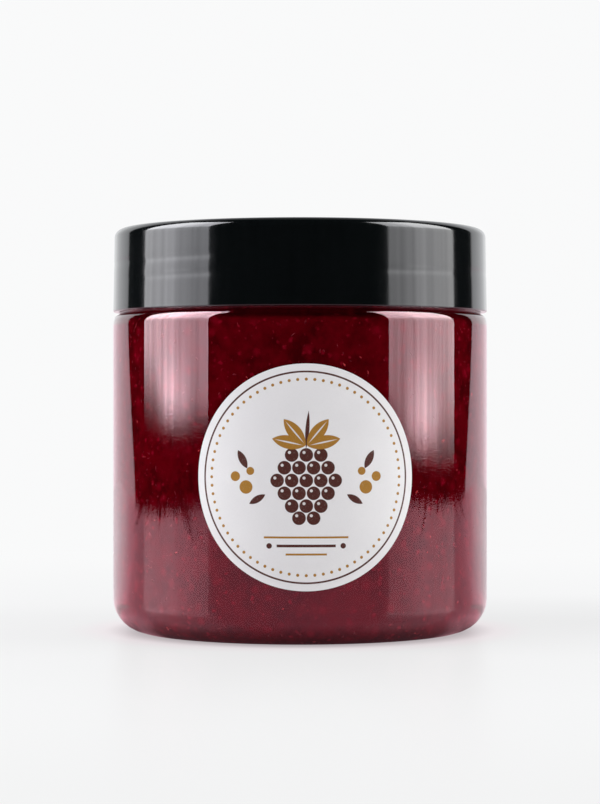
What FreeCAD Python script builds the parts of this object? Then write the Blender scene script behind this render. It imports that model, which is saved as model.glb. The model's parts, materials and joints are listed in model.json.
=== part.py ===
import FreeCAD
import Part
import math
import os

# A straight-sided clear plastic jar, filled with fruit puree, with a screw lid and a round label.
# Millimetres. The origin is the centre of the plane the jar stands on, +Z runs up the jar's axis
# and -Y is the side that carries the label.

# Overall sizes.
jar_radius = 45.0
total_height = 96.3

# Jar body: a thin blown wall, a well rounded heel, and a base that rises inside its stand ring.
wall = 0.8
base_thickness = 1.0
heel_radius = 7.8
stand_ring_width = 5.5
push_up_step = 1.3
push_up_slope_width = 2.0
push_up_dome = 1.5
gate_mark_radius = 1.6
gate_mark_height = 0.3
shoulder_radius = 1.45
shoulder_thickness = 1.2
shoulder_fall = 0.8

# Neck: a plain cylinder with a locating collar at its foot and a rounded rim.
neck_wall = 1.3
rim_rounding = 0.3
collar_overlap = 0.9
collar_slope = 0.6
collar_clearance = 0.15

# Lid: a smooth cap, flush with the jar wall at its lower edge and drawn in slightly towards its top.
lid_height = 19.85
lid_wall = 1.35
lid_plate = 1.6
lid_draft_degrees = 1.0
lid_top_rounding = 2.0
lid_edge_rounding = 0.3
lid_inner_rounding = 0.5
shoulder_gap = 0.75

# Screw thread, right-handed. The same ridge stands out from the neck and in from the lid. The drop
# is from the rim down to the middle of the lid's ridge where it starts.
thread_pitch = 4.0
thread_turns = 1.2
thread_start_degrees = 195.0
thread_drop = 10.1
thread_depth = 1.0
thread_base_width = 2.0
thread_crest_width = 0.9
thread_radial_clearance = 0.35
thread_flank_clearance = 0.1
thread_run_out_degrees = 30.0
thread_root_sink = 0.4
sections_per_turn = 24

# Filling and label.
headspace = 3.0
label_radius = 25.4
label_thickness = 0.12
label_centre_height = 38.1
label_turn_degrees = 1.75

# Radii and heights that follow from the sizes above.
lid_bottom = total_height - lid_height
rim_height = total_height - lid_plate
shoulder_height = lid_bottom - shoulder_gap
thread_first_height = rim_height - thread_drop
lid_bore_radius = jar_radius - lid_wall
thread_crest_radius = lid_bore_radius - thread_radial_clearance
neck_radius = thread_crest_radius - thread_depth
neck_bore_radius = neck_radius - neck_wall
collar_radius = lid_bore_radius - collar_clearance
cavity_radius = jar_radius - wall
stand_ring_radius = jar_radius - heel_radius - stand_ring_width
push_up_radius = stand_ring_radius - push_up_slope_width
push_up_height = push_up_step + push_up_dome
fill_height = rim_height - headspace

origin = FreeCAD.Vector(0, 0, 0)
up = FreeCAD.Vector(0, 0, 1)


def point(radius, height):
    return FreeCAD.Vector(radius, 0, height)


def add_line(edges, start, end):
    """A straight edge, left out where two roundings meet and nothing is left between them."""
    if start.distanceToPoint(end) > 1e-6:
        edges.append(Part.LineSegment(start, end).toShape())


def rounded_edges(corners):
    """Edges through corners of (radius, height, rounding), with a tangent arc at each rounded corner."""
    edges = []
    start = point(*corners[0][:2])
    for before, corner, after in zip(corners, corners[1:], corners[2:]):
        here = point(*corner[:2])
        rounding = corner[2]
        back = (point(*before[:2]) - here).normalize()
        ahead = (point(*after[:2]) - here).normalize()
        if rounding == 0:
            add_line(edges, start, here)
            start = here
            continue
        half_angle = back.getAngle(ahead) / 2
        reach = rounding / math.tan(half_angle)
        inward = (back + ahead).normalize()
        centre = here + inward * (rounding / math.sin(half_angle))
        arc_start = here + back * reach
        arc_end = here + ahead * reach
        add_line(edges, start, arc_start)
        edges.append(Part.Arc(arc_start, centre - inward * rounding, arc_end).toShape())
        start = arc_end
    add_line(edges, start, point(*corners[-1][:2]))
    return edges


def dome_edge(edge_radius, edge_height, rise):
    """An arc from the axis out to the rim of a shallow dome that is highest on the axis."""
    sphere_radius = (edge_radius**2 + rise**2) / (2 * rise)
    middle_radius = edge_radius / 2
    fall = sphere_radius - math.sqrt(sphere_radius**2 - middle_radius**2)
    top = edge_height + rise
    arc = Part.Arc(point(0, top), point(middle_radius, top - fall), point(edge_radius, edge_height))
    return arc.toShape()


def turned(edges):
    """The solid that these edges sweep round the axis, closed along the axis first."""
    first = edges[0].Vertexes[0].Point
    last = edges[-1].Vertexes[-1].Point
    closing = Part.LineSegment(last, first).toShape()
    return Part.Face(Part.Wire(edges + [closing])).revolve(origin, up, 360)


def thread_section(angle, height, root_radius, crest_radius, base_width, crest_width):
    """A trapezium standing in the plane through the axis at this angle."""
    outline = []
    corners = (
        (root_radius, -base_width / 2),
        (crest_radius, -crest_width / 2),
        (crest_radius, crest_width / 2),
        (root_radius, base_width / 2),
    )
    for radius, side in corners:
        outline.append(FreeCAD.Vector(radius * math.cos(angle), radius * math.sin(angle), height + side))
    return Part.makePolygon(outline + [outline[0]])


def thread_ridge(wall_radius, outward, first_height):
    """A helical ridge on a wall, outward 1 on the neck and -1 in the lid. Its ends sink into the wall."""
    sections = []
    count = math.ceil(thread_turns * sections_per_turn)
    for step in range(count + 1):
        turned_degrees = 360 * thread_turns * step / count
        left_degrees = 360 * thread_turns - turned_degrees
        fullness = min(1.0, turned_degrees / thread_run_out_degrees, left_degrees / thread_run_out_degrees)
        angle = math.radians(thread_start_degrees + turned_degrees)
        height = first_height + thread_pitch * turned_degrees / 360
        sunk = thread_root_sink / 2 * (1 - fullness)
        crest = wall_radius + outward * (thread_depth * fullness - sunk)
        root = wall_radius - outward * thread_root_sink
        slope = (thread_base_width - thread_crest_width) / thread_depth
        base_width = thread_base_width + slope * thread_root_sink
        crest_width = thread_base_width - slope * (thread_depth * fullness - sunk)
        sections.append(thread_section(angle, height, root, crest, base_width, crest_width))
    return Part.makeLoft(sections, True, False)


def cavity_edges(top):
    """The outline of the inside of the jar, from the middle of its base up to this height in the neck."""
    inner_heel = heel_radius - wall
    shoulder_under = shoulder_height - shoulder_thickness
    corners = [
        (push_up_radius, push_up_step + base_thickness, 0),
        (stand_ring_radius, base_thickness, 0),
        (cavity_radius, base_thickness, inner_heel),
        (cavity_radius, shoulder_under - shoulder_fall, shoulder_radius),
        (neck_bore_radius, shoulder_under, shoulder_radius),
        (neck_bore_radius, top, 0),
        (0, top, 0),
    ]
    dome = dome_edge(push_up_radius, push_up_step + base_thickness, push_up_dome)
    return [dome] + rounded_edges(corners)


def make_jar():
    rounded_shoulder = min(shoulder_radius, jar_radius - collar_radius)
    collar_top = lid_bottom + collar_overlap
    corners = [
        (push_up_radius, push_up_step, 0),
        (stand_ring_radius, 0, 0),
        (jar_radius, 0, heel_radius),
        (jar_radius, shoulder_height, rounded_shoulder),
        (collar_radius, shoulder_height, 0),
        (collar_radius, collar_top, 0),
        (neck_radius, collar_top + collar_slope, 0),
        (neck_radius, rim_height, rim_rounding),
        (neck_bore_radius, rim_height, rim_rounding),
        (neck_bore_radius, shoulder_height, 0),
        (0, shoulder_height, 0),
    ]
    dome = dome_edge(push_up_radius, push_up_step, push_up_dome)
    body = turned([dome] + rounded_edges(corners))
    gate_place = point(0, push_up_height - gate_mark_height)
    gate_mark = Part.makeCylinder(gate_mark_radius, gate_mark_height + base_thickness / 2, gate_place)
    ridge_height = thread_first_height + thread_base_width / 2 + thread_crest_width / 2 + thread_flank_clearance
    ridge = thread_ridge(neck_radius, 1, ridge_height)
    cavity = turned(cavity_edges(shoulder_height))
    return body.cut(cavity).fuse([gate_mark, ridge])


def make_puree():
    return turned(cavity_edges(fill_height))


def make_lid():
    top_radius = jar_radius - lid_height * math.tan(math.radians(lid_draft_degrees))
    corners = [
        (0, total_height, 0),
        (top_radius, total_height, lid_top_rounding),
        (jar_radius, lid_bottom, lid_edge_rounding),
        (lid_bore_radius, lid_bottom, lid_edge_rounding),
        (lid_bore_radius, rim_height, lid_inner_rounding),
        (0, rim_height, 0),
    ]
    cap = turned(rounded_edges(corners))
    ridge = thread_ridge(lid_bore_radius, -1, thread_first_height)
    return cap.fuse(ridge)


def wrapped_circle(radius_on_wall):
    """The label's edge on a cylinder of this radius: a flat circle laid round the jar."""
    half_angle = label_radius / jar_radius
    middle = FreeCAD.Base.Vector2d(math.radians(label_turn_degrees - 90), label_centre_height)
    above = FreeCAD.Base.Vector2d(middle.x, middle.y + label_radius)
    beside = FreeCAD.Base.Vector2d(middle.x - half_angle, middle.y)
    cylinder = Part.Cylinder()
    cylinder.Radius = radius_on_wall
    edge = Part.Geom2d.Ellipse2d(above, beside, middle).toShape(cylinder)
    return Part.Wire(edge), Part.Face(cylinder, Part.Wire(edge))


def make_label():
    inner_wire, inner_face = wrapped_circle(jar_radius)
    outer_wire, outer_face = wrapped_circle(jar_radius + label_thickness)
    rim = Part.makeRuledSurface(inner_wire, outer_wire)
    return Part.Solid(Part.Shell([inner_face, outer_face] + rim.Faces))


os.makedirs("parts", exist_ok=True)
pieces = {
    "jar": make_jar(),
    "puree": make_puree(),
    "lid": make_lid(),
    "label": make_label(),
}
for name, shape in pieces.items():
    shape.exportStep("parts/" + name + ".step")
    box = shape.BoundBox
    print(name, shape.ShapeType, shape.isValid(), len(shape.Solids), round(shape.Volume, 1), box)
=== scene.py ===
import json
import math
import random

import bpy
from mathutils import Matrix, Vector

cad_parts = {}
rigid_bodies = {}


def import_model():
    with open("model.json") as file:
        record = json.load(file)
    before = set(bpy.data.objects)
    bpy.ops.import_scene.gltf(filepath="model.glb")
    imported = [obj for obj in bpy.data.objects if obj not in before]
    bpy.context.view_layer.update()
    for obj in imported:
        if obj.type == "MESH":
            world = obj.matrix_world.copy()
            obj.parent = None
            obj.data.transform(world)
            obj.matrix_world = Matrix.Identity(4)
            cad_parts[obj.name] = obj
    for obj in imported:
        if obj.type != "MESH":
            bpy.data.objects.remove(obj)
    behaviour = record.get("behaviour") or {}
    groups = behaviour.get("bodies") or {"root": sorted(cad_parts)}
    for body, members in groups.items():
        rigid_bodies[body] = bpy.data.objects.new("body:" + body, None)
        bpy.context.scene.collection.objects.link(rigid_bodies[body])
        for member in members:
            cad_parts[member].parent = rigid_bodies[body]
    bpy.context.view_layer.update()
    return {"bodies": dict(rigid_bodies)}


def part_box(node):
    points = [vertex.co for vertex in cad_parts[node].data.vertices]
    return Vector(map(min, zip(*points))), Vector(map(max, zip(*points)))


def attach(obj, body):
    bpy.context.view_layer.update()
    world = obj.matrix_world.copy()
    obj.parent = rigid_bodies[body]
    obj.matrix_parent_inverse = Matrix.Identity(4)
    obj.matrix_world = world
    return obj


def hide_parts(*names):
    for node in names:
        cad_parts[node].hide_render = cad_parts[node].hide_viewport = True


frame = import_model()
if "root" not in frame["bodies"]:
    raise SystemExit("the jar's body is not called root")


# ---------------------------------------------------------------------------------------------
# Puree: thick crimson fruit pulp, filled to a level just under the rim. It wets the whole inside
# of the jar, so its skin reaches a hair into the clear wall and no air shows between them.
# ---------------------------------------------------------------------------------------------
mm = 0.001
jar_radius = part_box("jar")[1].x
puree_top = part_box("puree")[1].z
fill_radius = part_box("puree")[1].x
wall_reach = 0.08 * mm


def draw_outline(name, corners):
    """A chain of edges in the X-Z plane, from corners of (radius, height, rounding) in metres."""
    bpy.ops.object.select_all(action="DESELECT")
    bpy.ops.mesh.primitive_plane_add(size=0.001, location=(0, 0, 0))
    piece = bpy.context.object
    piece.name = name
    piece.data.name = name
    bpy.ops.object.mode_set(mode="EDIT")
    bpy.ops.mesh.select_mode(type="VERT")
    bpy.ops.mesh.select_all(action="SELECT")
    bpy.ops.mesh.merge(type="CENTER")
    bpy.ops.mesh.select_all(action="SELECT")
    bpy.ops.transform.translate(value=(corners[0][0], 0, corners[0][1]))
    for before, after in zip(corners, corners[1:]):
        step = (after[0] - before[0], 0, after[1] - before[1])
        bpy.ops.mesh.extrude_vertices_move(TRANSFORM_OT_translate={"value": step})
    bpy.ops.object.mode_set(mode="OBJECT")
    return piece


def select_points(piece, wanted):
    """Selects the vertices for which wanted(x, y, z) is true, and leaves the piece in edit mode."""
    bpy.ops.object.mode_set(mode="EDIT")
    bpy.ops.mesh.select_mode(type="VERT")
    bpy.ops.mesh.select_all(action="DESELECT")
    bpy.ops.object.mode_set(mode="OBJECT")
    for vertex in piece.data.vertices:
        vertex.select = wanted(*vertex.co)
    bpy.ops.object.mode_set(mode="EDIT")


def round_corners(piece, corners, segments):
    """Puts a tangent arc at every corner of the outline that has a rounding."""
    for before, corner, after in zip(corners, corners[1:], corners[2:]):
        if corner[2] == 0:
            continue
        here = Vector(corner[:2])
        turn = (Vector(before[:2]) - here).angle(Vector(after[:2]) - here)
        reach = corner[2] / math.tan(turn / 2)
        near = 1e-6
        select_points(piece, lambda x, y, z: abs(x - here.x) < near and abs(z - here.y) < near)
        bpy.ops.mesh.bevel(offset=reach, offset_type="OFFSET", segments=segments, affect="VERTICES")
        bpy.ops.object.mode_set(mode="OBJECT")


def turn_outline(piece, steps):
    """Spins the outline round the jar's axis and closes the seam and the poles."""
    bpy.ops.object.mode_set(mode="EDIT")
    bpy.ops.mesh.select_all(action="SELECT")
    bpy.ops.mesh.spin(steps=steps, angle=2 * math.pi, center=(0, 0, 0), axis=(0, 0, 1))
    bpy.ops.mesh.select_all(action="SELECT")
    bpy.ops.mesh.remove_doubles(threshold=1e-6)
    bpy.ops.mesh.normals_make_consistent(inside=False)
    bpy.ops.object.mode_set(mode="OBJECT")


def smooth_faces(piece, degrees):
    """Smooth shading that lets the broad faces decide the normals, so that long walls stay true."""
    bpy.ops.object.select_all(action="DESELECT")
    bpy.context.view_layer.objects.active = piece
    piece.select_set(True)
    bpy.ops.object.shade_smooth_by_angle(angle=math.radians(degrees))
    bpy.ops.object.modifier_add(type="WEIGHTED_NORMAL")
    piece.modifiers[-1].keep_sharp = True
    piece.modifiers[-1].weight = 80
    bpy.ops.object.modifier_apply(modifier=piece.modifiers[-1].name)


def material_nodes(name):
    """A new material with a Principled shader, and its node tree."""
    material = bpy.data.materials.new(name)
    material.use_nodes = True
    return material, material.node_tree, material.node_tree.nodes["Principled BSDF"]


def add_node(tree, kind, settings=None, **values):
    """A node with its settings, and its inputs set by name or linked from another node's socket."""
    node = tree.nodes.new(kind)
    for key, value in (settings or {}).items():
        setattr(node, key, value)
    for key, value in values.items():
        socket = node.inputs[int(key[1:]) if key[0] == "_" else key.replace("_", " ")]
        if isinstance(value, bpy.types.NodeSocket):
            tree.links.new(value, socket)
        else:
            socket.default_value = value
    return node


def maths(tree, kind, first, second=0.0, third=0.0):
    """The result of one Math node."""
    return add_node(tree, "ShaderNodeMath", {"operation": kind}, _0=first, _1=second, _2=third).outputs[0]


def times(tree, first, second):
    """first multiplied by second."""
    return maths(tree, "MULTIPLY", first, second)


def less(tree, first, second):
    """first with second taken off."""
    return maths(tree, "SUBTRACT", first, second)


def plus(tree, first, second):
    """first with second added."""
    return maths(tree, "ADD", first, second)


def blend_of(tree, share, first, second):
    """The colour from first to second by share."""
    node = add_node(tree, "ShaderNodeMix", {"data_type": "RGBA"}, _0=share)
    for index, value in ((6, first), (7, second)):
        if isinstance(value, bpy.types.NodeSocket):
            tree.links.new(value, node.inputs[index])
        else:
            node.inputs[index].default_value = (*value, 1)
    return node.outputs[2]


def ramp_of(tree, value, low, high, to_low=0.0, to_high=1.0):
    """value taken smoothly from the range low..high to to_low..to_high."""
    node = add_node(tree, "ShaderNodeMapRange", {"interpolation_type": "SMOOTHSTEP"}, Value=value)
    node.inputs["From Min"].default_value = low
    node.inputs["From Max"].default_value = high
    node.inputs["To Min"].default_value = to_low
    node.inputs["To Max"].default_value = to_high
    return node.outputs[0]


def object_point(tree, scale=(1, 1, 1), turn=(0, 0, 0)):
    """The piece's own coordinates through a Mapping node."""
    place = add_node(tree, "ShaderNodeTexCoord").outputs["Object"]
    return add_node(tree, "ShaderNodeMapping", Vector=place, Scale=scale, Rotation=turn).outputs[0]


def noise_of(tree, place, scale, detail=2.0, roughness=0.5):
    """Smooth noise from 0 to 1."""
    return add_node(
        tree, "ShaderNodeTexNoise", Vector=place, Scale=scale, Detail=detail, Roughness=roughness
    ).outputs[0]


foot_radius = jar_radius - 13.3 * mm
dome_radius = foot_radius - 2.0 * mm
floor_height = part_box("puree")[0].z
dome_foot = floor_height + 1.3 * mm
dome_rise = 1.5 * mm
shoulder_under = 74.5 * mm
bore_radius = 41.0 * mm


def dome_corners(foot_height, rise, count):
    """Corners of the shallow dome under the jar, from the axis out to its foot."""
    corners = []
    for step in range(count):
        share = step / count
        corners.append((dome_radius * share, foot_height + rise * (1 - share**2), 0))
    return corners


puree_corners = dome_corners(dome_foot - wall_reach, dome_rise, 8) + [
    (dome_radius, dome_foot - wall_reach, 0),
    (foot_radius, floor_height - wall_reach, 0),
    (fill_radius + wall_reach, floor_height - wall_reach, 7.0 * mm + wall_reach),
    (fill_radius + wall_reach, shoulder_under - 0.8 * mm + wall_reach, 1.3 * mm),
    (bore_radius + wall_reach, shoulder_under + wall_reach, 1.3 * mm),
    (bore_radius + wall_reach, puree_top, 0.4 * mm),
    (0, puree_top, 0),
]
puree = draw_outline("puree_fill", puree_corners)
round_corners(puree, puree_corners, 8)
turn_outline(puree, 192)
smooth_faces(puree, 40)

puree_paint, tree, shader = material_nodes("crimson_puree")
broad = noise_of(tree, object_point(tree), 130.0, 4.0, 0.55)
middle = noise_of(tree, object_point(tree, (1, 1, 0.8)), 420.0, 4.0, 0.6)
cloud = ramp_of(tree, broad, 0.36, 0.68)
grain = ramp_of(tree, middle, 0.36, 0.72)
deep = blend_of(tree, cloud, (0.0425, 0.0001, 0.0012), (0.089, 0.0001, 0.0025))
paint = blend_of(tree, times(tree, grain, 0.6), deep, (0.1275, 0.0003, 0.0042))
drift = add_node(tree, "ShaderNodeTexNoise", Vector=object_point(tree), Scale=1300.0, Detail=2.0)
drift = drift.outputs["Color"]
drift = add_node(tree, "ShaderNodeVectorMath", {"operation": "SCALE"}, _0=drift, Scale=0.0011).outputs[0]
torn = add_node(tree, "ShaderNodeVectorMath", _0=object_point(tree), _1=drift).outputs[0]
for size, least, reach, colour in (
    (330.0, 0.62, 0.5, (0.162, 0.001, 0.007)),
    (700.0, 0.8, 0.5, (0.23, 0.003, 0.013)),
    (1300.0, 0.93, 0.46, (0.31, 0.012, 0.024)),
):
    cell = add_node(tree, "ShaderNodeTexVoronoi", Vector=torn, Scale=size).outputs
    chosen = add_node(tree, "ShaderNodeSeparateColor", Color=cell["Color"]).outputs[0]
    chosen = ramp_of(tree, chosen, least, least + 0.08, 0.0, 0.8)
    nearness = ramp_of(tree, cell["Distance"], reach * 0.15, reach, 1.0, 0.0)
    shred = times(tree, nearness, chosen)
    paint = blend_of(tree, shred, paint, colour)
tree.links.new(paint, shader.inputs["Base Color"])
shader.inputs["Roughness"].default_value = 0.6
shader.inputs["Specular IOR Level"].default_value = 0.0
puree.data.materials.append(puree_paint)
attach(puree, "root")
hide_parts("puree")


# ---------------------------------------------------------------------------------------------
# Bits in the puree: pale seeds, lighter shreds of pulp and short fibres that lie against the
# wall. Each kind is one small grain, modelled once and laid round the jar at its true size.
# ---------------------------------------------------------------------------------------------
def grain_model(name, size):
    """One faceted grain, from an icosphere squashed to size, given as (vertices, faces)."""
    bpy.ops.object.select_all(action="DESELECT")
    bpy.ops.mesh.primitive_ico_sphere_add(subdivisions=1, radius=0.5, location=(0, 0, 0), scale=size)
    grain_piece = bpy.context.object
    bpy.ops.object.transform_apply(location=False, rotation=False, scale=True)
    points = [vertex.co.copy() for vertex in grain_piece.data.vertices]
    faces = [tuple(face.vertices) for face in grain_piece.data.polygons]
    bpy.data.objects.remove(grain_piece, do_unlink=True)
    return points, faces


def skin_place(chance, share):
    """A place on the puree's skin: the point, the way out and the way up, by angle and share of height."""
    angle = chance * 2 * math.pi
    out = Vector((math.cos(angle), math.sin(angle), 0))
    heel = 7.0 * mm
    heel_run = heel * math.pi / 2
    run = share * (heel_run + shoulder_under - 2 * mm - heel)
    if run < heel_run:
        lean = run / heel
        radius = fill_radius - heel + heel * math.sin(lean)
        height = floor_height + heel - heel * math.cos(lean)
        away = out * math.sin(lean) - Vector((0, 0, math.cos(lean)))
        rise = out * math.cos(lean) + Vector((0, 0, math.sin(lean)))
    else:
        radius = fill_radius
        height = floor_height + heel + run - heel_run
        away = out
        rise = Vector((0, 0, 1))
    return out * radius + Vector((0, 0, height)), away, rise


def lay_grains(name, model, count, seed, sizes, stretch, proud):
    """One mesh of many grains on the puree's skin, each turned and sized by chance."""
    chance = random.Random(seed)
    points, faces = model
    all_points = []
    all_faces = []
    for _ in range(count):
        place, away, rise = skin_place(chance.random(), chance.random())
        side = away.cross(rise)
        spin = chance.uniform(0, math.pi)
        along = rise * math.cos(spin) + side * math.sin(spin)
        across = away.cross(along)
        size = sizes[0] * (sizes[1] / sizes[0]) ** (chance.random() ** 1.8)
        longer = chance.uniform(*stretch)
        centre = place + away * (wall_reach + proud * chance.uniform(0.2, 1.0))
        bend = chance.uniform(-0.35, 0.35)
        first = len(all_points)
        for point in points:
            jitter = 1 + chance.uniform(-0.22, 0.22)
            x = point.x * size * longer * jitter
            y = point.y * size * jitter + bend * x * x / (size * longer)
            all_points.append(centre + along * x + across * y + away * point.z * size)
        for face in faces:
            all_faces.append(tuple(first + index for index in face))
    mesh = bpy.data.meshes.new(name)
    mesh.from_pydata(all_points, [], all_faces)
    piece = bpy.data.objects.new(name, mesh)
    bpy.context.scene.collection.objects.link(piece)
    bpy.ops.object.select_all(action="DESELECT")
    bpy.context.view_layer.objects.active = piece
    piece.select_set(True)
    bpy.ops.object.mode_set(mode="EDIT")
    bpy.ops.mesh.select_all(action="SELECT")
    bpy.ops.mesh.normals_make_consistent(inside=False)
    bpy.ops.object.mode_set(mode="OBJECT")
    bpy.ops.object.shade_smooth()
    return piece


def bit_paint(name, dark, light):
    """Wet fruit tissue that goes from dark to light from grain to grain."""
    material, tree, shader = material_nodes(name)
    patch = noise_of(tree, object_point(tree), 900.0, 2.0, 0.6)
    paint = blend_of(tree, ramp_of(tree, patch, 0.32, 0.7), dark, light)
    tree.links.new(paint, shader.inputs["Base Color"])
    shader.inputs["Roughness"].default_value = 0.5
    shader.inputs["Specular IOR Level"].default_value = 0.1
    return material


bit_kinds = (
    ("pulp_bits", (1, 0.7, 0.12), 1300, 11, (0.25 * mm, 0.9 * mm), (1.0, 1.9), 0.02 * mm,
     ((0.09, 0.0006, 0.0045), (0.22, 0.005, 0.012))),
    ("seeds", (1, 0.62, 0.15), 190, 23, (0.35 * mm, 1.1 * mm), (1.0, 1.4), 0.04 * mm,
     ((0.16, 0.003, 0.009), (0.6, 0.04, 0.045))),
    ("fibres", (1, 0.13, 0.1), 260, 37, (0.45 * mm, 0.9 * mm), (1.0, 2.2), 0.02 * mm,
     ((0.14, 0.005, 0.012), (0.42, 0.06, 0.07))),
)
for name, shape, count, seed, sizes, stretch, proud, colours in bit_kinds:
    piece = lay_grains(name, grain_model(name, shape), count, seed, sizes, stretch, proud)
    piece.data.materials.append(bit_paint(name + "_flesh", *colours))
    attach(piece, "root")


# ---------------------------------------------------------------------------------------------
# Jar: one clear blown plastic shell, 0.8 mm in the wall, with a rounded heel, a stand ring round
# a domed base, a square shoulder and a neck that the lid hides. The base keeps its gate mark.
# ---------------------------------------------------------------------------------------------
lid_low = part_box("lid")[0].z
rim_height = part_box("jar")[1].z
shoulder_height = lid_low - 0.75 * mm
collar_radius = 43.5 * mm
neck_radius = 42.3 * mm
collar_top = lid_low + 0.9 * mm

jar_corners = [(0, 2.5 * mm, 0), (1.5 * mm, 2.5 * mm, 0.1 * mm), (1.7 * mm, 2.8 * mm, 0)]
for radius, height, _ in dome_corners(1.3 * mm, 1.5 * mm, 8)[1:]:
    jar_corners.append((radius, height, 0))
jar_corners += [
    (dome_radius, 1.3 * mm, 0.6 * mm),
    (foot_radius, 0, 0.8 * mm),
    (jar_radius, 0, 7.8 * mm),
]
shoulder_reach = 1.1 * mm
shoulder_drop = 2.5 * mm
for step in range(13):
    lean = math.pi / 2 * step / 12
    radius = jar_radius - shoulder_reach * (1 - math.cos(lean))
    jar_corners.append((radius, shoulder_height - shoulder_drop * (1 - math.sin(lean)), 0))
for step in range(7):
    lean = math.pi / 2 * step / 6
    radius = collar_radius + 0.35 * mm * (1 - math.sin(lean))
    jar_corners.append((radius, shoulder_height + 0.7 * mm * (1 - math.cos(lean)), 0))
jar_corners += [
    (collar_radius, collar_top, 0.2 * mm),
    (neck_radius, collar_top + 0.6 * mm, 0.2 * mm),
    (neck_radius, rim_height, 0.3 * mm),
    (bore_radius, rim_height, 0.3 * mm),
    (bore_radius, shoulder_under, 1.3 * mm),
    (fill_radius, shoulder_under - 0.8 * mm, 1.3 * mm),
    (fill_radius, floor_height, 7.0 * mm),
    (foot_radius, floor_height, 0),
    (dome_radius, dome_foot, 0),
]
for radius, height, _ in reversed(dome_corners(dome_foot, dome_rise, 8)):
    jar_corners.append((radius, height, 0))
jar = draw_outline("jar_shell", jar_corners)
round_corners(jar, jar_corners, 8)
turn_outline(jar, 256)
smooth_faces(jar, 50)

jar_paint, tree, shader = material_nodes("clear_pet")
streaks = noise_of(tree, object_point(tree, (1, 1, 0.012)), 900.0, 3.0, 0.6)
ripples = noise_of(tree, object_point(tree, (0.2, 0.2, 1)), 3300.0, 2.0, 0.6)
relief = maths(tree, "MULTIPLY_ADD", streaks, 0.35, ripples)
bump = add_node(tree, "ShaderNodeBump", Strength=1.0, Distance=0.000002, Height=relief)
tree.links.new(bump.outputs[0], shader.inputs["Normal"])
shader.inputs["Specular Tint"].default_value = (1, 0.62, 0.71, 1)
shader.inputs["Base Color"].default_value = (1, 1, 1, 1)
shader.inputs["Transmission Weight"].default_value = 1.0
shader.inputs["Roughness"].default_value = 0.03
shader.inputs["IOR"].default_value = 1.7
jar.data.materials.append(jar_paint)
jar.visible_shadow = False
jar.visible_diffuse = False
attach(jar, "root")
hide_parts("jar")


# ---------------------------------------------------------------------------------------------
# Screw thread: the same rounded ridge of one and a fifth turns stands out from the jar's neck
# and in from the lid. It is moulded in one with each of them, and the lid hides both.
# ---------------------------------------------------------------------------------------------
thread_pitch = 4.0 * mm
thread_turns = 1.2
thread_start = 195.0
thread_depth = 1.0 * mm
thread_sink = 0.25 * mm
lid_thread_height = 84.6 * mm


def thread_ridge(name, wall_radius, outward, first_height):
    """A ridge that winds up a wall, outward 1 on the neck and -1 in the lid."""
    root = wall_radius - outward * thread_sink
    crest = wall_radius + outward * thread_depth
    corners = [
        (root, -1.1 * mm, 0),
        (crest, -0.45 * mm, 0),
        (crest, 0.45 * mm, 0),
        (root, 1.1 * mm, 0),
    ]
    piece = draw_outline(name, corners)
    select_points(piece, lambda x, y, z: True)
    bpy.ops.mesh.edge_face_add()
    bpy.ops.mesh.delete(type="ONLY_FACE")
    bpy.ops.object.mode_set(mode="OBJECT")
    bpy.ops.object.modifier_add(type="SCREW")
    screw = piece.modifiers[-1]
    screw.angle = math.radians(360 * thread_turns)
    screw.screw_offset = thread_pitch * thread_turns
    screw.steps = 96
    screw.render_steps = 96
    bpy.ops.object.modifier_apply(modifier=screw.name)
    for vertex in piece.data.vertices:
        x, y, z = vertex.co
        way = math.atan2(y, x) % (2 * math.pi)
        turns = round((z / thread_pitch - way / (2 * math.pi)))
        wound = math.degrees(way) + 360 * turns
        full = max(0.0, min(1.0, wound / 30, (360 * thread_turns - wound) / 30))
        radius = math.hypot(x, y)
        if abs(radius - crest) < 0.3 * mm:
            scale = (root + (crest - root) * (0.1 + 0.9 * full)) / radius
            vertex.co = (x * scale, y * scale, z)
    piece.rotation_euler = (0, 0, math.radians(thread_start))
    piece.location = (0, 0, first_height)
    bpy.ops.object.transform_apply(location=True, rotation=True, scale=False)
    bpy.ops.object.mode_set(mode="EDIT")
    bpy.ops.mesh.select_all(action="DESELECT")
    bpy.ops.mesh.select_mode(type="EDGE")
    bpy.ops.mesh.select_non_manifold(extend=False)
    bpy.ops.mesh.edge_face_add()
    bpy.ops.mesh.select_all(action="SELECT")
    bpy.ops.mesh.normals_make_consistent(inside=False)
    bpy.ops.object.mode_set(mode="OBJECT")
    smooth_faces(piece, 60)
    return piece


neck_thread = thread_ridge("neck_thread", neck_radius, 1, lid_thread_height + 1.55 * mm)
neck_thread.data.materials.append(jar_paint)
neck_thread.visible_shadow = False
neck_thread.visible_diffuse = False
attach(neck_thread, "root")
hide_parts("jar")


# ---------------------------------------------------------------------------------------------
# Lid: a moulded black cap, glossy, drawn in one degree towards its top so that it leaves its
# mould. Over the thread inside, the wall sank in faint lines as it cooled.
# ---------------------------------------------------------------------------------------------
lid_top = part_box("lid")[1].z
lid_rise = lid_top - lid_low
top_radius = jar_radius - lid_rise * math.tan(math.radians(1.0))
lid_bore = jar_radius - 1.35 * mm
plate_under = rim_height

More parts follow.
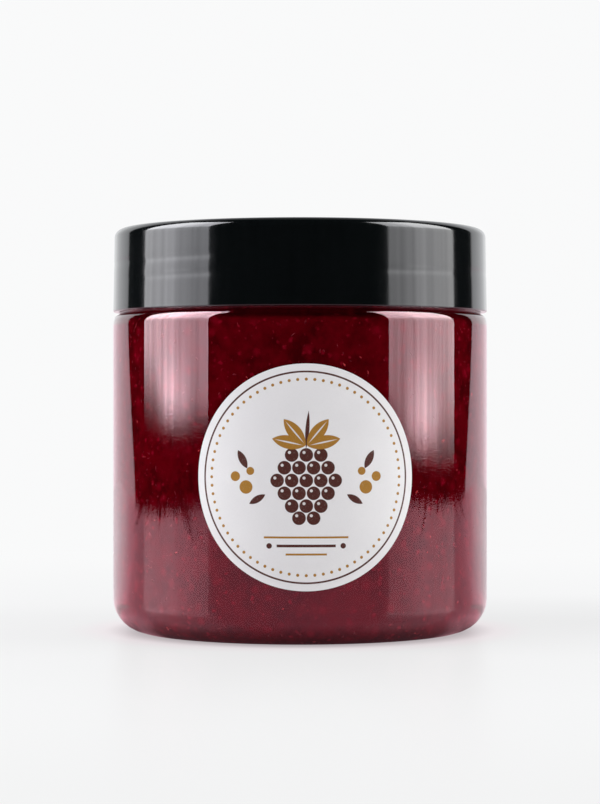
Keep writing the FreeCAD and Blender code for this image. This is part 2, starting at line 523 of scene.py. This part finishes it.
wall_rows = []
row_count = 60
for step in range(1, row_count):
    share = step / row_count
    height = lid_top - 2.4 * mm - share * (lid_rise - 3.0 * mm)
    wall_rows.append((jar_radius - (height - lid_low) * math.tan(math.radians(1.0)), height, 0))
lid_corners = (
    [(0, lid_top, 0), (top_radius - 4 * mm, lid_top, 0), (top_radius, lid_top, 2.0 * mm)]
    + wall_rows
    + [
        (jar_radius, lid_low, 0.3 * mm),
        (lid_bore, lid_low, 0.3 * mm),
        (lid_bore, plate_under, 0.5 * mm),
        (0, plate_under, 0),
    ]
)
lid = draw_outline("lid_cap", lid_corners)
round_corners(lid, lid_corners, 10)
turn_outline(lid, 256)
sink_depth = 0.06 * mm
sink_width = 0.95 * mm
for vertex in lid.data.vertices:
    x, y, z = vertex.co
    radius = math.hypot(x, y)
    if radius < lid_bore + 0.6 * mm or not lid_low + 3 * mm < z < lid_top - 3 * mm:
        continue
    angle = (math.degrees(math.atan2(y, x)) - thread_start) % 360
    for turns in range(2):
        wound = angle + 360 * turns
        if wound > 360 * thread_turns:
            continue
        full = max(0.0, min(1.0, wound / 30, (360 * thread_turns - wound) / 30))
        off = (z - lid_thread_height + 0.85 * mm - thread_pitch * wound / 360) / sink_width
        shrink = sink_depth * full * math.exp(-off * off)
        vertex.co = (vertex.co.x * (1 - shrink / radius), vertex.co.y * (1 - shrink / radius), z)
smooth_faces(lid, 50)

lid_paint, tree, shader = material_nodes("black_gloss")
dust = noise_of(tree, object_point(tree), 3200.0, 2.0, 0.7)
haze = noise_of(tree, object_point(tree, (1, 1, 0.08)), 700.0, 3.0, 0.6)
specks = ramp_of(tree, dust, 0.73, 0.8)
tone = blend_of(tree, haze, (0.0022, 0.003, 0.0033), (0.0038, 0.005, 0.0054))
tone = blend_of(tree, times(tree, specks, 0.5), tone, (0.05, 0.05, 0.05))
tree.links.new(tone, shader.inputs["Base Color"])
tree.links.new(ramp_of(tree, haze, 0.2, 0.8, 0.07, 0.12), shader.inputs["Roughness"])
flow = noise_of(tree, object_point(tree, (1, 1, 0.03)), 500.0, 3.0, 0.55)
bump = add_node(tree, "ShaderNodeBump", Strength=1.0, Distance=0.0000012, Height=flow)
tree.links.new(bump.outputs[0], shader.inputs["Normal"])
shader.inputs["IOR"].default_value = 1.475
shader.inputs["Specular Tint"].default_value = (0.95, 0.95, 1.0, 1)
lid.data.materials.append(lid_paint)
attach(lid, "root")
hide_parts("lid")

lid_thread = thread_ridge("lid_thread", lid_bore, -1, lid_thread_height)
lid_thread.data.materials.append(lid_paint)
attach(lid_thread, "root")
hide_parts("lid")


# ---------------------------------------------------------------------------------------------
# Label: a round sticker of coated white paper, wrapped on the front of the jar and stuck flat.
# It is cut as a flat disc and then laid round the wall.
# ---------------------------------------------------------------------------------------------
label_low, label_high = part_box("label")
label_middle = (label_low.z + label_high.z) / 2
label_radius = (label_high.z - label_low.z) / 2
label_turn = math.radians(1.75)
paper_height = 0.1 * mm


def wrap_on_jar(piece, lift):
    """Lays a flat piece, drawn in the X-Z plane round its own middle, on the jar's wall."""
    for vertex in piece.data.vertices:
        x, y, z = vertex.co
        angle = x / jar_radius + label_turn
        radius = jar_radius + lift - y
        vertex.co = (radius * math.sin(angle), -radius * math.cos(angle), label_middle + z)


def paper_disc(name, radius, rings, around):
    """A flat disc in the X-Z plane that faces -Y, in rings so that it bends well."""
    bpy.ops.object.select_all(action="DESELECT")
    bpy.ops.mesh.primitive_circle_add(
        vertices=around, radius=radius, fill_type="NOTHING", rotation=(math.pi / 2, 0, 0)
    )
    piece = bpy.context.object
    piece.name = name
    piece.data.name = name
    bpy.ops.object.transform_apply(location=False, rotation=True, scale=False)
    bpy.ops.object.mode_set(mode="EDIT")
    bpy.ops.mesh.select_all(action="SELECT")
    for step in range(rings - 1):
        size = (rings - step - 1) / (rings - step)
        bpy.ops.mesh.extrude_edges_move()
        bpy.ops.transform.resize(value=(size, 1, size))
    bpy.ops.mesh.edge_face_add()
    bpy.ops.mesh.select_all(action="SELECT")
    bpy.ops.mesh.normals_make_consistent(inside=False)
    bpy.ops.object.mode_set(mode="OBJECT")
    if sum(face.normal.y for face in piece.data.polygons) > 0:
        bpy.ops.object.mode_set(mode="EDIT")
        bpy.ops.mesh.select_all(action="SELECT")
        bpy.ops.mesh.flip_normals()
        bpy.ops.object.mode_set(mode="OBJECT")
    return piece


label = paper_disc("label_paper", label_radius, 24, 160)
wrap_on_jar(label, paper_height)
bpy.ops.object.modifier_add(type="SOLIDIFY")
label.modifiers[-1].thickness = paper_height
label.modifiers[-1].offset = -1.0
bpy.ops.object.modifier_apply(modifier=label.modifiers[-1].name)
smooth_faces(label, 50)

label_paint, tree, shader = material_nodes("coated_paper")
parts = add_node(tree, "ShaderNodeSeparateXYZ", Vector=object_point(tree)).outputs
round_jar = maths(tree, "ARCTAN2", parts["X"], times(tree, parts["Y"], -1.0))
right = times(tree, less(tree, round_jar, label_turn), jar_radius * 1000)
above = times(tree, less(tree, parts["Z"], label_middle), 1000.0)
spot = add_node(tree, "ShaderNodeCombineXYZ", X=right, Y=above).outputs[0]


def distance_to(middle):
    """How far a spot on the label is from this one, in millimetres."""
    node = add_node(tree, "ShaderNodeVectorMath", {"operation": "DISTANCE"}, _0=spot, _1=middle)
    return node.outputs["Value"]


def disc(x, y, radius):
    """How far a spot on the label is outside a disc, in millimetres."""
    return less(tree, distance_to((x, y, 0)), radius)


def leaf(x, y, length, width, degrees):
    """A pointed leaf whose length lies at this angle from the right."""
    radius = (length**2 + width**2) / (4 * width)
    aside = radius - width / 2
    across = math.radians(degrees + 90)
    step = (aside * math.cos(across), aside * math.sin(across))
    one_side = disc(x + step[0], y + step[1], radius)
    other_side = disc(x - step[0], y - step[1], radius)
    return maths(tree, "MAXIMUM", one_side, other_side)


def bar(x, y, half_length, half_height):
    """An upright rectangle."""
    beside = less(tree, maths(tree, "ABSOLUTE", less(tree, right, x)), half_length)
    over = less(tree, maths(tree, "ABSOLUTE", less(tree, above, y)), half_height)
    return maths(tree, "MAXIMUM", beside, over)


def ring(radius, half_width):
    """A ring round the middle of the label."""
    return less(tree, maths(tree, "ABSOLUTE", disc(0, 0, radius)), half_width)


def ring_of_dots(radius, dot, count):
    """Dots in a ring round the middle of the label."""
    part = 2 * math.pi / count
    angle = maths(tree, "ARCTAN2", above, right)
    angle = times(tree, maths(tree, "ROUND", maths(tree, "DIVIDE", angle, part)), part)
    x = times(tree, maths(tree, "COSINE", angle), radius)
    y = times(tree, maths(tree, "SINE", angle), radius)
    middle = add_node(tree, "ShaderNodeCombineXYZ", X=x, Y=y).outputs[0]
    return less(tree, distance_to(middle), dot)


def top_leaves(length, width):
    """The four leaves over the bunch, each by how far it leans from upright."""
    shapes = []
    for lean in (-78, -40, 40, 78):
        x = 4.0 * math.sin(math.radians(lean))
        y = 7.0 + 4.0 * math.cos(math.radians(lean))
        shapes.append(leaf(x, y, length, width, 90 - lean))
    return shapes


def any_of(shapes):
    """All of these shapes as one."""
    whole = shapes[0]
    for shape in shapes[1:]:
        whole = maths(tree, "MINIMUM", whole, shape)
    return whole


def ink_over(paper, shape, colour):
    """paper with this shape printed on it."""
    cover = ramp_of(tree, shape, -0.05, 0.05, 1.0, 0.0)
    cover = times(tree, cover, ramp_of(tree, fibre, 0.2, 0.5, 0.92, 1.0))
    return blend_of(tree, cover, paper, colour)


fibre = noise_of(tree, object_point(tree), 2600.0, 3.0, 0.65)
shade = noise_of(tree, object_point(tree), 60.0, 2.0, 0.5)
white = blend_of(tree, ramp_of(tree, shade, 0.3, 0.7), (0.91, 0.895, 0.915), (0.945, 0.93, 0.945))
paper = blend_of(tree, ramp_of(tree, fibre, 0.35, 0.75, 0.0, 0.25), white, (0.85, 0.84, 0.855))
brown = (0.075, 0.018, 0.011)
gold = (0.42, 0.2, 0.022)
berry = []
shine = []
berry_rows = ((5.0, 3), (2.15, 4), (-0.7, 5), (-3.55, 4), (-6.4, 3), (-9.1, 2))
for height, count in berry_rows:
    for index in range(count):
        x = (index - (count - 1) / 2) * 3.25
        berry.append(disc(x, height, 1.52))
        shine.append(disc(x - 0.5, height + 0.55, 0.34))
leaves = top_leaves(7.6, 3.0)
veins = top_leaves(6.2, 0.34)
stem = [leaf(0.25, 10.6, 8.6, 0.9, 86)]
small_fruit = []
small_leaves = []
for side in (-1, 1):
    small_fruit.append(disc(side * 13.6, -2.2, 1.5))
    small_fruit.append(disc(side * 16.1, 0.2, 1.1))
    small_fruit.append(disc(side * 12.6, 1.4, 0.9))
    small_leaves.append(leaf(side * 14.4, 4.0, 4.6, 1.7, 90 - side * 28))
    small_leaves.append(leaf(side * 11.0, -4.9, 4.2, 1.5, 90 + side * 60))
bars = [bar(0, -13.4, 9.5, 0.22), bar(0, -17.2, 4.6, 0.22)]
beads = [bar(0, -15.3, 6.6, 0.3), disc(-8.3, -15.3, 0.62), disc(8.3, -15.3, 0.62)]
paper = ink_over(paper, any_of([ring(23.6, 0.2)] + berry + stem + small_leaves + beads), brown)
paper = ink_over(paper, any_of([ring_of_dots(21.9, 0.34, 72)] + leaves + small_fruit + bars), gold)
paper = ink_over(paper, any_of(shine + veins), (0.8, 0.78, 0.78))
tree.links.new(paper, shader.inputs["Base Color"])
tree.links.new(ramp_of(tree, fibre, 0.3, 0.7, 0.42, 0.52), shader.inputs["Roughness"])
bump = add_node(tree, "ShaderNodeBump", Strength=0.4, Distance=0.000002, Height=fibre)
tree.links.new(bump.outputs[0], shader.inputs["Normal"])
shader.inputs["Specular IOR Level"].default_value = 0.35
label.data.materials.append(label_paint)
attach(label, "root")
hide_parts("label")


# ---------------------------------------------------------------------------------------------
# Table: a white table with a slight sheen, painted near black outside its lit part as painted shade.
# The camera sees a pale glow with painted shade over its real shadow, and mirror-like rays see a
# made-up pink light instead of it, so reflections of it are only fitted.
# ---------------------------------------------------------------------------------------------
table_left = -0.68
table_right = 0.79
table_front = -0.68
table_back = 0.9


def stage_plane(name, size, place, turn):
    """A flat stage piece with its place left on the object, so its own coordinates run from its middle."""
    bpy.ops.object.select_all(action="DESELECT")
    bpy.ops.mesh.primitive_plane_add(size=1, location=place, rotation=turn, scale=(1, 1, 1))
    plane = bpy.context.object
    plane.name = name
    for vertex in plane.data.vertices:
        vertex.co = (vertex.co.x * size[0], vertex.co.y * size[1], 0)
    return plane


def stretched(tree, place, scale):
    """place, scaled along each of its own directions."""
    return add_node(tree, "ShaderNodeMapping", Vector=place, Scale=scale).outputs[0]


def steps_of(tree, value, stops):
    """value from 0 to 1 taken to the level between the nearest two stops of (value, level)."""
    curve = add_node(tree, "ShaderNodeFloatCurve", Value=value)
    line = curve.mapping.curves[0]
    while len(line.points) < len(stops):
        line.points.new(0.5, 0.5)
    for point, stop in zip(line.points, stops):
        point.location = stop
        point.handle_type = "AUTO_CLAMPED"
    curve.mapping.update()
    return curve.outputs[0]


table = stage_plane("table", (1, 1), (0, 0, 0), (0, 0, 0))
for vertex in table.data.vertices:
    x = table_left if vertex.co.x < 0 else table_right
    y = table_front if vertex.co.y < 0 else table_back
    vertex.co = (x, y, 0)
table_paint, tree, shader = material_nodes("white_table")
place = add_node(tree, "ShaderNodeTexCoord").outputs["Object"]
parts = add_node(tree, "ShaderNodeSeparateXYZ", Vector=place).outputs
away = add_node(tree, "ShaderNodeVectorMath", {"operation": "LENGTH"}, _0=place).outputs["Value"]
paths = add_node(tree, "ShaderNodeLightPath").outputs

# the lit part of the table, with frayed ends, and all of it behind the jar
frayed = noise_of(tree, stretched(tree, place, (0.03, 1, 1)), 30.0, 3.0, 0.7)
fray = maths(tree, "MULTIPLY_ADD", ramp_of(tree, frayed, 0.48, 0.72, 0.0, 0.3), -1.0, 0.04)
left_end = ramp_of(tree, plus(tree, parts["X"], fray), table_left, -0.52)
right_end = ramp_of(tree, less(tree, parts["X"], fray), 0.62, 0.78, 1.0, 0.0)
front_end = ramp_of(tree, parts["Y"], table_front, -0.5)
lit_part = times(tree, times(tree, left_end, right_end), front_end)
rearward = ramp_of(tree, maths(tree, "DIVIDE", parts["Y"], away), 0.38, 0.5)
lit_part = maths(tree, "MAXIMUM", lit_part, rearward)
# painted shade: the table's colour is near black outside the lit part
cloth = blend_of(tree, lit_part, (0.01, 0.01, 0.01), (0.66, 0.66, 0.665))
tree.links.new(cloth, shader.inputs["Base Color"])
shader.inputs["Roughness"].default_value = 0.32
shader.inputs["Specular IOR Level"].default_value = 0.25

# what the camera sees: 70 percent glow near the jar and all glow further off, with painted shade by
# place: darker towards the front, a painted contact shadow round the jar, lighter on its left and
# darker on its right beside it, and a painted pink bounce light close to it
glow_share = ramp_of(tree, away, 0.06, 0.3, 0.7, 1.0)
# painted shade: darker towards the front
painted_floor_shade = ramp_of(tree, parts["Y"], -0.28, -0.12, 0.945, 1.0)
# painted shade beside the jar: lighter on its left, darker on its right
abreast = maths(tree, "ABSOLUTE", less(tree, parts["Y"], 0.04))
painted_side_shade = ramp_of(tree, abreast, 0.02, 0.07, 1.0, 0.0)
painted_side_shade = times(tree, painted_side_shade, ramp_of(tree, parts["X"], -0.12, 0.12, -0.015, 0.05))
painted_floor_shade = less(tree, painted_floor_shade, painted_side_shade)
painted_contact = ramp_of(tree, away, 0.039, 0.048, 0.66, 1.0)
painted_floor_shade = times(tree, painted_floor_shade, painted_contact)
# painted pink bounce light from the jar on the table close to it
close_by = ramp_of(tree, away, 0.041, 0.058)
floor_tint_painted_bounce = blend_of(tree, close_by, (0.965, 0.87, 0.905), (0.95, 0.953, 0.956))
glow = add_node(tree, "ShaderNodeEmission", Color=floor_tint_painted_bounce, Strength=painted_floor_shade).outputs[0]
seen_share = times(tree, paths["Is Camera Ray"], glow_share)
both = add_node(tree, "ShaderNodeMixShader", _0=seen_share, _1=shader.outputs[0], _2=glow).outputs[0]

# what mirror-like rays see: a level by direction round the jar, from 0 in front to 1 behind
rearness = maths(tree, "MULTIPLY_ADD", maths(tree, "DIVIDE", parts["Y"], away), 0.5, 0.5)
mirror_stops = (
    (0, 0.42),
    (0.18, 0.43),
    (0.34, 0.54),
    (0.5, 0.5),
    (0.64, 0.52),
    (0.76, 0.62),
    (0.88, 0.5),
    (1, 0.25),
)
mirror_level = steps_of(tree, rearness, mirror_stops)
# painted shadow of the jar in this light: dark close to it, with painted light beside it at its sides, a
# little less on the right
painted_jar_shadow = ramp_of(tree, away, 0.039, 0.05, 0.1, 1.0)
sideways = maths(tree, "DIVIDE", maths(tree, "ABSOLUTE", parts["X"]), away)
painted_light_beside_jar = ramp_of(tree, sideways, 0.72, 0.88, 0.0, 1.05)
painted_light_beside_jar = times(tree, painted_light_beside_jar, ramp_of(tree, sideways, 0.9, 0.98, 1.0, 0.45))
painted_light_beside_jar = times(tree, painted_light_beside_jar, ramp_of(tree, away, 0.04, 0.048, 0.3, 1.0))
painted_jar_shadow = maths(tree, "MAXIMUM", painted_jar_shadow, painted_light_beside_jar)
painted_jar_shadow = times(tree, painted_jar_shadow, ramp_of(tree, parts["X"], -0.04, 0.04, 1.0, 0.9))
mirror_level = times(tree, times(tree, mirror_level, 2.5), times(tree, painted_jar_shadow, lit_part))
rear_fade = ramp_of(tree, away, 0.08, 0.45, -0.15, 0.16)
rear_fade = times(tree, rear_fade, ramp_of(tree, rearness, 0.76, 0.92))
mirror_level = maths(tree, "MULTIPLY_ADD", mirror_level, rear_fade, mirror_level)
# painted shade: close to the jar at its sides and back this light is dimmer and paler
painted_shade_near_jar = ramp_of(tree, away, 0.055, 0.11, 1.0, 0.0)
painted_shade_near_jar = times(tree, painted_shade_near_jar, ramp_of(tree, rearness, 0.5, 0.64))
dimmed = times(tree, mirror_level, painted_shade_near_jar)
mirror_level = maths(tree, "MULTIPLY_ADD", dimmed, -0.36, mirror_level)
mirror_tint = blend_of(tree, ramp_of(tree, rearness, 0.1, 0.6), (1, 0.46, 0.56), (1, 0.5, 0.6))
mirror_tint = blend_of(tree, ramp_of(tree, rearness, 0.7, 0.93), mirror_tint, (1, 0.86, 0.92))
mirror_tint = blend_of(tree, painted_shade_near_jar, mirror_tint, (1, 0.8, 0.86))
mirrored = add_node(tree, "ShaderNodeEmission", Color=mirror_tint, Strength=mirror_level).outputs[0]
# painted shade on the sheen: its colour is weak close to the jar and nothing outside the lit part
sheen = times(tree, ramp_of(tree, away, 0.05, 0.075, 0.12, 1.0), lit_part)
sheen = blend_of(tree, sheen, (0, 0, 0), (0.18, 0.18, 0.18))
sheen = add_node(tree, "ShaderNodeBsdfAnisotropic", Color=sheen, Roughness=0.28).outputs[0]
mirrored = add_node(tree, "ShaderNodeAddShader", _0=mirrored, _1=sheen).outputs[0]
both = add_node(tree, "ShaderNodeMixShader", _0=paths["Is Glossy Ray"], _1=both, _2=mirrored).outputs[0]
tree.links.new(both, tree.nodes["Material Output"].inputs["Surface"])
table.data.materials.append(table_paint)


# ---------------------------------------------------------------------------------------------
# Soft lights: one tall cloth-fronted light on each side of the jar, brightest down its middle.
# The camera doesn't see them, and their upper part is stronger for mirror-like rays.
# ---------------------------------------------------------------------------------------------
box_distance = 1.2
box_height = 1.8
box_low = 0.005
box_half_width = box_distance * math.tan(math.radians(26))
box_strength = 7.3
across_stops = (
    (0, 0.6),
    (0.17, 0.55),
    (0.28, 0.6),
    (0.39, 0.68),
    (0.5, 0.8),
    (0.56, 0.78),
    (0.68, 0.74),
    (0.83, 0.7),
    (1, 0.72),
)


def soft_light(name, side, middle_azimuth, half_width, level, sill, colour):
    """A tall soft light that faces the jar from this side, over a lower edge given by sill."""
    angle = math.radians(middle_azimuth)
    middle_height = box_low + box_height / 2
    place = (side * box_distance * math.sin(angle), -box_distance * math.cos(angle), middle_height)
    turn = (math.pi / 2, 0, side * angle + math.pi)
    light = stage_plane(name, (2 * half_width, box_height), place, turn)
    light.visible_camera = False
    material, tree, shader = material_nodes(name + "_cloth")
    tree.nodes.remove(shader)
    own = add_node(tree, "ShaderNodeTexCoord").outputs["Object"]
    parts = add_node(tree, "ShaderNodeSeparateXYZ", Vector=own).outputs
    outward = maths(tree, "MULTIPLY_ADD", parts["X"], -side / (2 * half_width), 0.5)
    rise = plus(tree, parts["Y"], box_height / 2)
    across = steps_of(tree, outward, across_stops)

    # the glow low down, with a bright streak in its middle
    off_middle = maths(tree, "ABSOLUTE", less(tree, outward, 0.47))
    middle_part = ramp_of(tree, off_middle, 0.1, 0.3, 1.0, 0.0)
    off_streak = maths(tree, "ABSOLUTE", less(tree, outward, 0.5))
    streak = ramp_of(tree, off_streak, 0.0, 0.035, 0.22, 0.0)
    near_sill = ramp_of(tree, rise, 0.04, 0.1, 1.0, 0.0)
    low_glow = times(tree, near_sill, maths(tree, "MULTIPLY_ADD", middle_part, 0.72, -0.1))
    low_glow = maths(tree, "MULTIPLY_ADD", near_sill, streak, low_glow)

    # the rest, which grows upwards, and more so for mirror-like rays
    upward = ramp_of(tree, rise, 0.3, 1.1, 1.0, 1.2)
    paths = add_node(tree, "ShaderNodeLightPath").outputs
    upward = times(tree, upward, maths(tree, "MULTIPLY_ADD", paths["Is Glossy Ray"], 0.26, 0.74))
    mirror_rise = ramp_of(tree, rise, 0.17, 0.55, 0.0, 1.5)
    upward = maths(tree, "MULTIPLY_ADD", paths["Is Glossy Ray"], mirror_rise, upward)

    # the folds of the cloth, and its uneven lower edge
    folds = noise_of(tree, stretched(tree, own, (1, 0.02, 1)), 13.0, 4.0, 0.65)
    cloth = ramp_of(tree, folds, 0.28, 0.72, 0.76, 1.24)
    edge = less(tree, rise, times(tree, steps_of(tree, outward, sill), 0.1))
    edge = maths(tree, "DIVIDE", edge, ramp_of(tree, outward, 0.55, 0.95, 0.02, 0.045))
    edge_fade = ramp_of(tree, edge, -1.0, 0.9)
    strength = times(tree, plus(tree, upward, low_glow), times(tree, across, box_strength * level))
    strength = times(tree, times(tree, strength, cloth), edge_fade)
    glow = add_node(tree, "ShaderNodeEmission", Color=(*colour, 1), Strength=strength).outputs[0]
    rear_side = add_node(tree, "ShaderNodeNewGeometry").outputs["Backfacing"]
    none = add_node(tree, "ShaderNodeEmission", Strength=0.0).outputs[0]
    out = add_node(tree, "ShaderNodeMixShader", _0=rear_side, _1=glow, _2=none).outputs[0]
    tree.links.new(out, tree.nodes["Material Output"].inputs["Surface"])
    light.data.materials.append(material)
    return light


left_sill = ((0, 0.42), (0.3, 0.4), (0.6, 0.43), (0.68, 0.48), (0.76, 0.56), (0.91, 0.68), (1, 0.74))
right_sill = ((0, 0.5), (0.1, 0.38), (0.25, 0.24), (0.4, 0.2), (0.6, 0.2), (0.75, 0.24), (1, 0.3))
soft_light("left_light", -1, 82, box_half_width, 1.0, left_sill, (0.985, 0.99, 1))
soft_light("right_light", 1, 80, box_half_width, 0.83, right_sill, (0.985, 0.99, 0.97))


# ---------------------------------------------------------------------------------------------
# Backdrop: plain and pale to the camera and through clear parts. Mirror-like rays see a room that
# is dark in front and bright behind instead, and soft fill light reaches only the matt surfaces.
# ---------------------------------------------------------------------------------------------
backdrop_strength = 1.37
fill_strength = 0.33
room_strength = 0.006
world = bpy.data.worlds.new("studio")
bpy.context.scene.world = world
world.use_nodes = True
tree = world.node_tree
tree.nodes.clear()
way = add_node(tree, "ShaderNodeTexCoord").outputs["Generated"]
parts = add_node(tree, "ShaderNodeSeparateXYZ", Vector=way).outputs
level_length = maths(tree, "SQRT", less(tree, 1.0001, times(tree, parts["Z"], parts["Z"])))
rearward = maths(tree, "DIVIDE", parts["Y"], level_length)
behind = plus(tree, rearward, ramp_of(tree, parts["Z"], -0.06, 0.04, 0.16, 0.0))
behind = ramp_of(tree, behind, 0.635, 0.66)
fade = ramp_of(tree, parts["Z"], 0.45, 0.95, 1.0, 0.25)
fade = times(tree, fade, ramp_of(tree, rearward, 0.93, 1.0, 1.0, 0.74))
back_level = times(tree, times(tree, behind, fade), backdrop_strength)
paths = add_node(tree, "ShaderNodeLightPath").outputs
fill = maths(tree, "MULTIPLY_ADD", paths["Is Diffuse Ray"], fill_strength, room_strength)
level = plus(tree, back_level, fill)
tint = blend_of(tree, ramp_of(tree, parts["Z"], 0.028, 0.044), (1.04, 0.87, 0.94), (0.97, 0.985, 1))
room = add_node(tree, "ShaderNodeBackground", Color=tint, Strength=level).outputs[0]
pale = add_node(tree, "ShaderNodeBackground", Color=(0.95, 0.953, 0.956, 1), Strength=1.0).outputs[0]
seen = maths(tree, "MAXIMUM", paths["Is Camera Ray"], paths["Is Transmission Ray"])
both = add_node(tree, "ShaderNodeMixShader", _0=seen, _1=room, _2=pale).outputs[0]
output = add_node(tree, "ShaderNodeOutputWorld")
tree.links.new(both, output.inputs["Surface"])


# ---------------------------------------------------------------------------------------------
# Camera: level, at a little over half the jar's height and about half a metre in front of it.
# It looks square at the label side.
# ---------------------------------------------------------------------------------------------
camera_distance = 0.5776
camera_height = 0.0549
camera_aside = -0.00002
camera_data = bpy.data.cameras.new("camera")
camera_data.lens = 107.0
camera_data.sensor_width = 36.0
camera_data.clip_start = 0.01
camera_data.clip_end = 20.0
camera = bpy.data.objects.new("camera", camera_data)
bpy.context.scene.collection.objects.link(camera)
camera.location = (camera_aside, -camera_distance, camera_height)
camera.rotation_euler = (math.pi / 2, 0, 0)
bpy.context.scene.camera = camera
bpy.context.scene.view_settings.view_transform = "Standard"
